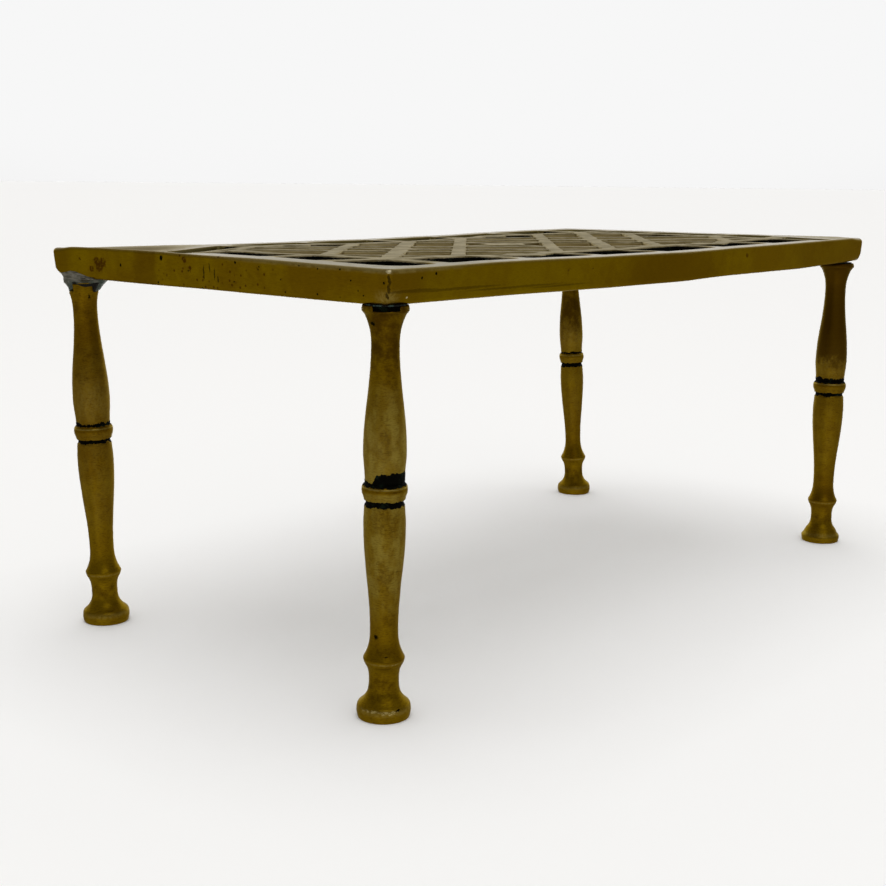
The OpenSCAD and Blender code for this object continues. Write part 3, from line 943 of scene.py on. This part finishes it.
def aged_brass(name, streak, cast):
    """Old brass: gold under an uneven brown tarnish, with residue, pits, wear and painted highlights. Cast
    brass also has its rubbed top, dark openings, the marks on the rim and a painted shade line, turned brass
    a film of old polish."""
    s = Shader(name)
    slow = s.noise(30 * MM, 3)
    mottle = s.noise(3.5 * MM, 5, rough=0.65)
    speckle = s.noise(0.9 * MM, 3, rough=0.6)
    grain = s.noise(0.6 * MM, 3, streak)

    tarnish = s.plus(s.times(slow, 0.75), s.times(mottle, 0.25))
    bright, brown = (CAST_OLIVE, CAST_BROWN) if cast else (OLIVE_GOLD, BROWN_GOLD)
    s.colour = s.mix(s.ramp(tarnish, 0.36, 0.62), bright, brown)
    if cast:
        s.paint(s.times(s.marks(BROWNED, s.jittered(6 * MM, 3 * MM)), 0.6), BROWN_PATCH)
    else:
        stains = s.marks(LEG_STAINS, s.jittered(3 * MM, 2.4 * MM))
        film = s.times(s.field("haze"), s.ramp(s.noise(2.6 * MM, 4, (1, 1, 2.2)), 0.36, 0.6, 0.35, 1.0))
        film = s.times(film, s.minus(1.0, s.times(stains, 0.45)))
        s.paint(s.times(film, 0.75), HAZY_GOLD)
        # Faint scores round the leg
        s.paint(s.ramp(s.noise(0.6 * MM, 2, (5, 5, 0.4)), 0.58, 0.70, 0.0, 0.45), DULL_BROWN)
    s.paint(s.ramp(grain, 0.42, 0.72, 0.0, 0.18 if cast else 0.42), DULL_BROWN)
    s.paint(s.times(s.field("wear"), s.ramp(speckle, 0.35, 0.62, 0.25, 1.0)), PALE_GOLD)
    blot = s.times(s.spots(11 * MM, 2.0 * MM, 0.10, 0.31), s.ramp(mottle, 0.45, 0.6))
    pits = s.spots(6 * MM, 0.36 * MM, 0.16, 0.17)
    if cast:
        s.paint(s.times(s.field("handled"), s.ramp(mottle, 0.40, 0.60, 0.25, 0.9)), HANDLED)
        s.paint(s.times(s.field("edge"), 0.9), EDGE_PALE)
        s.paint(s.field("rubbed"), RUBBED)
        strap = s.noise(7 * MM, 4, (1.6, 1, 1))
        strap = s.mix(s.ramp(strap, 0.38, 0.62), STRAP_PALE, STRAP_DARK)
        s.paint(s.field("inner"), strap)
        s.paint(s.field("wall"), STRAP_WALL)
        s.paint(s.field("far_wall"), FAR_WALL)
        shaken = s.jittered(0.9 * MM, 0.35 * MM)
        shaken_more = s.jittered(2.2 * MM, 1.1 * MM)
        stained = s.marks(STAINS, s.jittered(1.3 * MM, 1.2 * MM))
        blot = s.most(blot, s.times(stained, s.ramp(speckle, 0.36, 0.52, 0.25, 0.9)))
        pits = s.most(pits, s.marks(PITS, shaken))
        flecks = s.times(s.spots(2.0 * MM, 0.6 * MM, 0.8, 0.53), s.marks(FLECKED, shaken_more))
        blot = s.most(blot, s.times(flecks, 0.8))
        cracks = s.marks(CRACKS, shaken)
    else:
        patchy = s.ramp(s.plus(s.field("dull"), s.minus(mottle, 0.5)), 0.15, 0.6)
        s.paint(s.times(patchy, 0.85), DULL_BROWN)
        shaken = s.jittered(1.2 * MM, 0.5 * MM)
        s.paint(s.times(stains, s.ramp(speckle, 0.4, 0.6, 0.05, 0.36)), DULL_BROWN)
        pits = s.most(pits, s.marks(LEG_PITS, shaken))
        # Chipped gold and painted highlights on the near leg
        s.paint(s.times(s.marks(LEG_GLINTS, shaken), s.ramp(speckle, 0.42, 0.58, 0.1, 0.9)), CHIP_AND_GLINT_GOLD)
    s.paint(blot, RED_STAIN)
    s.paint(pits, BLACK_RESIDUE)
    if cast:
        s.paint(s.times(cracks, 0.8), CRACK_BROWN)
        # Painted shade along the bend over the filed flat
        s.paint(s.times(s.marks(CREASE, shaken), 0.45), CREASE_SHADE)
        # Painted highlights at the near corner
        s.paint(s.marks(GLINTS, shaken), GLINT)
        s.paint(s.field("tin"), TIN)

    ragged = s.plus(s.field("grime"), s.times(s.minus(speckle, 0.5), 0.65))
    covered = s.ramp(ragged, 0.47, 0.55)
    covering = s.mix(s.ramp(mottle, 0.56, 0.66), BLACK_RESIDUE, GREEN_RESIDUE)
    if cast:
        crust = s.times(s.marks(CORRODED, shaken_more), s.ramp(speckle, 0.45, 0.6))
        covering = s.mix(crust, covering, GREEN_CRUST)
    s.paint(covered, covering)

    metallic = s.ramp(covered, 0.0, 1.0, 1.0, 0.0)
    roughness = s.ramp(s.plus(s.times(mottle, 0.6), s.times(grain, 0.4)), 0.3, 0.7, 0.26, 0.40)
    if cast:
        soft = s.most(s.times(s.field("inner"), 0.10), s.times(s.field("edge"), 0.12))
        roughness = s.plus(roughness, soft)
        rubbed = s.mix(s.field("near"), GRAZED_RUBBED, GRAZED_NEAR)
        grazed = s.mix(s.field("rubbed"), GRAZED_FACE, rubbed)
        grazed = s.mix(s.field("inner"), grazed, GRAZED_STRAP)
    else:
        grazed = s.mix(film, GRAZED_TURNED, GRAZED_FILM)
        roughness = s.plus(roughness, s.plus(0.06, s.times(film, 0.08)))
        metallic = s.times(metallic, s.minus(1.0, s.times(film, 0.28)))
    s.put(s.surface.inputs["Specular Tint"], grazed)
    roughness = s.plus(roughness, s.times(covered, 0.25))
    s.bump(grain, 0.006 * MM)
    s.bump(s.times(pits, -1.0), 0.25 * MM)
    s.bump(s.times(covered, s.ramp(speckle, 0.2, 0.8)), 0.12 * MM)
    if cast:
        s.bump(s.times(cracks, -1.0), 0.15 * MM)
    return s.finish(roughness, metallic, 0.04)


def grey_solder(name):
    """Dull tin solder: grey smears, green and black where flux stayed, greener and darker below the underside
    of the top, and a glimpse of the brass collar.
    """
    s = Shader(name)
    smear = s.noise(1.8 * MM, 3, (2.4, 2.4, 0.5))
    mottle = s.noise(2.5 * MM, 4)
    speckle = s.noise(0.8 * MM, 3)
    s.colour = s.mix(s.ramp(smear, 0.34, 0.66), SOLDER_DARK, SOLDER_PALE)
    green = s.times(s.field("green"), s.ramp(mottle, 0.34, 0.58, 0.35, 1.0))
    s.paint(green, SOLDER_GREEN)
    s.paint(s.field("bare"), OLIVE_GOLD)
    black = s.plus(s.field("black"), s.times(s.minus(speckle, 0.5), 1.1))
    black = s.times(s.ramp(black, 0.45, 0.65), s.ramp(s.field("black"), 0.05, 0.25))
    black = s.most(black, s.spots(2.6 * MM, 0.5 * MM, 0.3))
    s.paint(black, BLACK_RESIDUE)
    s.bump(smear, 0.08 * MM)
    s.bump(s.times(black, -1.0), 0.4 * MM)
    return s.finish(s.ramp(smear, 0.3, 0.7, 0.36, 0.55), s.ramp(black, 0, 1, 0.9, 0.0), 0.25)


def dark_bed(name):
    """Solder bed in the gap: black with green corrosion."""
    s = Shader(name)
    mottle = s.noise(1.2 * MM, 4)
    s.colour = s.mix(s.ramp(mottle, 0.46, 0.62), BLACK_RESIDUE, BED_GREEN)
    s.bump(mottle, 0.2 * MM)
    return s.finish(s.ramp(mottle, 0.3, 0.7, 0.5, 0.8), 0.0, 0.25)


# ---- the object ----

cast = aged_brass("cast_brass_aged", (3.0, 3.0, 0.4), True)
turned = aged_brass("turned_brass_aged", (1.5, 1.5, 0.5), False)
solder = grey_solder("solder_grey")
bed = dark_bed("solder_dark")

make_top(cast)
for leg in LEGS.values():
    turned_piece(leg, "upper_baluster_" + leg.corner, "baluster_top_" + leg.corner, turned, upper_shape)
    turned_piece(leg, "ring_" + leg.corner, "leg_ring_" + leg.corner, turned, ring_shape, spacing=0.16 * MM)
    turned_piece(leg, "lower_baluster_" + leg.corner, "baluster_low_" + leg.corner, turned, lower_shape)
make_repair(solder)
for node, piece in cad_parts.items():
    if node.startswith("solder_bed"):
        piece.data.materials.clear()
        piece.data.materials.append(bed)


# ---- stage, light and camera ----

FORWARD = Vector((0.7497, 0.6351, -0.1859))
ROLL = math.radians(0.59)
CAMERA_FROM_TOP = Vector((-0.43684, -0.33998, 0.02633))
LENS_MM = 57.83

# Brightness of the surroundings: towards the camera's side and away from it, above and below the horizon
FRONT_HIGH, FAR_HIGH = 0.21, 0.93
SIDE_LOW, FRONT_LOW, FAR_LOW = 0.36, 0.52, 0.90
SHADE_TINT = (1.0, 0.93, 0.80)
PANELS = 5.0

FLOOR_RADIUS, FLOOR_SIDES = 20, 96
FLOOR_WHITE = (0.92, 0.925, 0.935, 1)


def make_floor():
    mesh = bpy.data.meshes.new("floor")
    turns = np.linspace(0, 2 * math.pi, FLOOR_SIDES, endpoint=False)
    rim = [(FLOOR_RADIUS * math.cos(a), FLOOR_RADIUS * math.sin(a), 0) for a in turns]
    mesh.from_pydata(rim, [], [tuple(range(FLOOR_SIDES))])
    floor = add_object("floor", mesh)
    floor.location.z = -0.02 * MM
    paint = Shader("floor_pale")
    paint.surface.inputs["Base Color"].default_value = FLOOR_WHITE
    paint.surface.inputs["Roughness"].default_value = 0.9
    paint.surface.inputs["Specular IOR Level"].default_value = 0.0
    mesh.materials.append(paint.material)
    floor.visible_glossy = False


def make_world():
    """A soft studio: bright behind the stand, dim on the camera's side, faint panels below the horizon."""
    world = bpy.data.worlds.new("studio")
    bpy.context.scene.world = world
    world.use_nodes = True
    w = Nodes(world.node_tree)
    direction = w.node("ShaderNodeTexCoord")["Generated"]
    split = w.node("ShaderNodeSeparateXYZ", {"Vector": direction})
    ahead = Vector((FORWARD.x, FORWARD.y, 0)).normalized()
    behind = w.node("ShaderNodeVectorMath", {0: direction, 1: ahead}, operation="DOT_PRODUCT")["Value"]
    around = w.math("ARCTAN2", split["Y"], split["X"])
    panels = w.math("SINE", w.math("MULTIPLY_ADD", around, PANELS, 2.2))
    shade = w.math("MULTIPLY_ADD", panels, 0.04, w.ramp(behind, -0.95, -0.4, FRONT_LOW, SIDE_LOW))
    low = w.blend(w.ramp(behind, 0.8, 0.99), shade, FAR_LOW)
    high = w.ramp(behind, 0.3, 0.85, FRONT_HIGH, FAR_HIGH)
    level = w.blend(w.ramp(split["Z"], -0.07, 0.03), low, high)
    background = w.tree.nodes["Background"]
    w.put(background.inputs["Color"], w.mix(w.ramp(level, 0.3, 0.9), SHADE_TINT, (1.0, 1.0, 1.0)))
    w.put(background.inputs["Strength"], level)


def make_light(name, kind, place, watts, **settings):
    light = bpy.data.lights.new(name, kind)
    light.energy = watts
    for label, value in settings.items():
        setattr(light, label, value)
    lamp = add_object(name, light)
    lamp.location = place
    lamp.rotation_mode = "QUATERNION"
    lamp.rotation_quaternion = (-Vector(place)).to_track_quat("-Z", "Y")
    return lamp


def make_camera():
    data = bpy.data.cameras.new("camera")
    data.sensor_fit = "HORIZONTAL"
    data.sensor_width = 36
    data.lens = LENS_MM
    data.clip_start, data.clip_end = 0.01, 60
    camera = add_object("camera", data)
    top_centre = Vector(((TOP_LOW[0] + TOP_HIGH[0]) / 2, (TOP_LOW[1] + TOP_HIGH[1]) / 2, TOP_HIGH[2]))
    level = FORWARD.to_track_quat("-Z", "Y").to_matrix()
    turn = Matrix.Rotation(ROLL, 3, "Z")
    camera.matrix_world = Matrix.Translation(top_centre + CAMERA_FROM_TOP) @ (level @ turn).to_4x4()
    bpy.context.scene.camera = camera


make_floor()
make_world()
make_light("key", "AREA", (-0.5, -0.9, 1.1), 1.4, size=1.0)
overhead = make_light("overhead", "SUN", (0, 0, 3), 2.1, angle=math.radians(60))
overhead.visible_glossy = False
make_camera()
bpy.context.scene.view_settings.view_transform = "Standard"
